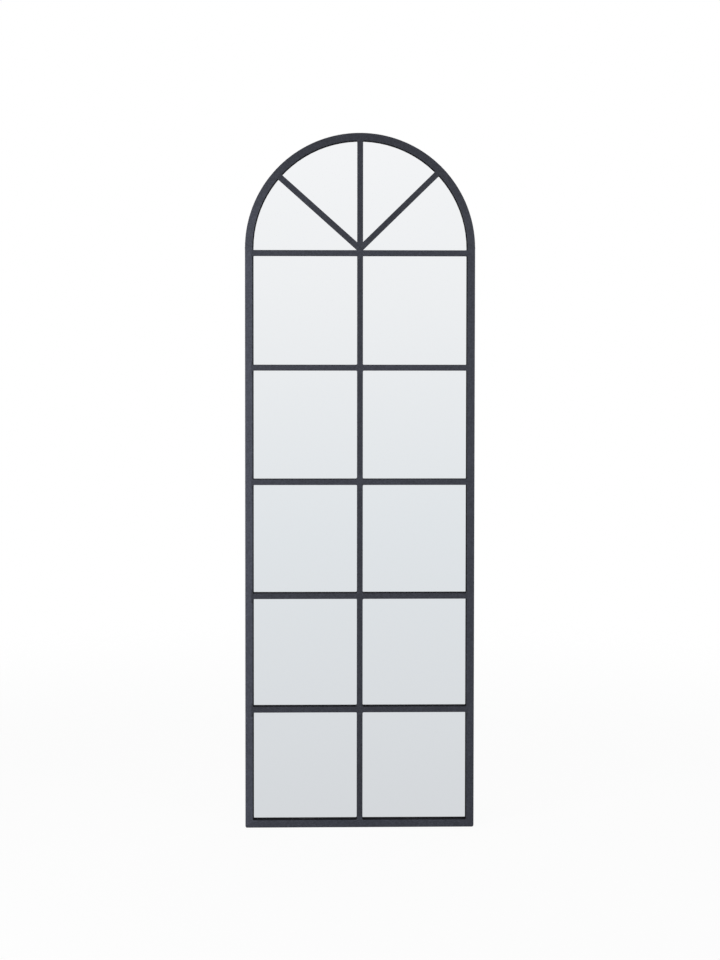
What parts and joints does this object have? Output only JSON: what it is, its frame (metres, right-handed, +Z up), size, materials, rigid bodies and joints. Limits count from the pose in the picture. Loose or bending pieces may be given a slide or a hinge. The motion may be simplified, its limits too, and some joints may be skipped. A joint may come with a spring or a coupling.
{
  "type": "arched window mirror",
  "caption": "Tall wall mirror with a black welded steel tube frame, a half-round arched top, window-style glazing bars, fibreboard back and D-ring hangers.",
  "frame": {"origin": "middle of the bottom rail's underside, at mid depth of the frame tube", "axes": "+X across to the viewer's right, +Y back towards the wall, +Z up"},
  "size_m": [0.6, 0.026, 1.8199],
  "materials": {
    "black_powder_coat": "fine-textured satin black powder coat",
    "silvered_glass": "clear float glass, silvered on the back",
    "fibreboard": "raw medium-density fibreboard",
    "foam_tape": "matt black closed-cell foam",
    "black_rubber": "matt black rubber",
    "zinc_plate": "bright zinc plate, slightly dulled"
  },
  "bodies": {
    "frame": {"arch_tube": "black_powder_coat", "left_stile": "black_powder_coat", "right_stile": "black_powder_coat", "bottom_rail": "black_powder_coat", "transom_bar": "black_powder_coat", "cross_bar_1": "black_powder_coat", "cross_bar_2": "black_powder_coat", "cross_bar_3": "black_powder_coat", "cross_bar_4": "black_powder_coat", "mullion_1": "black_powder_coat", "mullion_2": "black_powder_coat", "mullion_3": "black_powder_coat", "mullion_4": "black_powder_coat", "mullion_5": "black_powder_coat", "centre_spoke": "black_powder_coat", "left_spoke": "black_powder_coat", "right_spoke": "black_powder_coat", "mirror_glass": "silvered_glass", "backing_board": "fibreboard", "edge_seal": "foam_tape", "cross_bar_tape": "foam_tape", "mullion_tape": "foam_tape", "spoke_tape": "foam_tape", "setting_block_left": "black_rubber", "setting_block_right": "black_rubber", "wall_bumper_left": "black_rubber", "wall_bumper_right": "black_rubber", "turn_button_screws": "zinc_plate", "hanger_screws": "zinc_plate", "hanger_strap_left": "zinc_plate", "hanger_strap_right": "zinc_plate"},
    "left_low_button": {"turn_button_left_low": "zinc_plate"},
    "left_middle_button": {"turn_button_left_middle": "zinc_plate"},
    "left_high_button": {"turn_button_left_high": "zinc_plate"},
    "right_low_button": {"turn_button_right_low": "zinc_plate"},
    "right_middle_button": {"turn_button_right_middle": "zinc_plate"},
    "right_high_button": {"turn_button_right_high": "zinc_plate"},
    "arch_left_button": {"turn_button_arch_left": "zinc_plate"},
    "arch_right_button": {"turn_button_arch_right": "zinc_plate"},
    "foot_button": {"turn_button_foot": "zinc_plate"},
    "left_ring": {"d_ring_left": "zinc_plate"},
    "right_ring": {"d_ring_right": "zinc_plate"}
  },
  "joints": [
    {"name": "left_low_button_turn", "type": "hinge", "parent": "frame", "child": "left_low_button", "pos_m": [-0.29, 0.01085, 0.15], "axis": [0, 1, 0], "continuous": true},
    {"name": "left_middle_button_turn", "type": "hinge", "parent": "frame", "child": "left_middle_button", "pos_m": [-0.29, 0.01085, 0.71], "axis": [0, 1, 0], "continuous": true},
    {"name": "left_high_button_turn", "type": "hinge", "parent": "frame", "child": "left_high_button", "pos_m": [-0.29, 0.01085, 1.27], "axis": [0, 1, 0], "continuous": true},
    {"name": "right_low_button_turn", "type": "hinge", "parent": "frame", "child": "right_low_button", "pos_m": [0.29, 0.01085, 0.15], "axis": [0, 1, 0], "continuous": true},
    {"name": "right_middle_button_turn", "type": "hinge", "parent": "frame", "child": "right_middle_button", "pos_m": [0.29, 0.01085, 0.71], "axis": [0, 1, 0], "continuous": true},
    {"name": "right_high_button_turn", "type": "hinge", "parent": "frame", "child": "right_high_button", "pos_m": [0.29, 0.01085, 1.27], "axis": [0, 1, 0], "continuous": true},
    {"name": "arch_left_button_turn", "type": "hinge", "parent": "frame", "child": "arch_left_button", "pos_m": [-0.19405, 0.01085, 1.73551], "axis": [0, 1, 0], "continuous": true},
    {"name": "arch_right_button_turn", "type": "hinge", "parent": "frame", "child": "arch_right_button", "pos_m": [0.19405, 0.01085, 1.73551], "axis": [0, 1, 0], "continuous": true},
    {"name": "foot_button_turn", "type": "hinge", "parent": "frame", "child": "foot_button", "pos_m": [0, 0.01085, 0.01], "axis": [0, 1, 0], "continuous": true},
    {"name": "left_ring_swing", "type": "hinge", "parent": "frame", "child": "left_ring", "pos_m": [-0.29, 0.0128, 1.43], "axis": [1, 0, 0], "range_deg": [0, 175]},
    {"name": "right_ring_swing", "type": "hinge", "parent": "frame", "child": "right_ring", "pos_m": [0.29, 0.0128, 1.43], "axis": [1, 0, 0], "range_deg": [0, 175]}
  ]
}
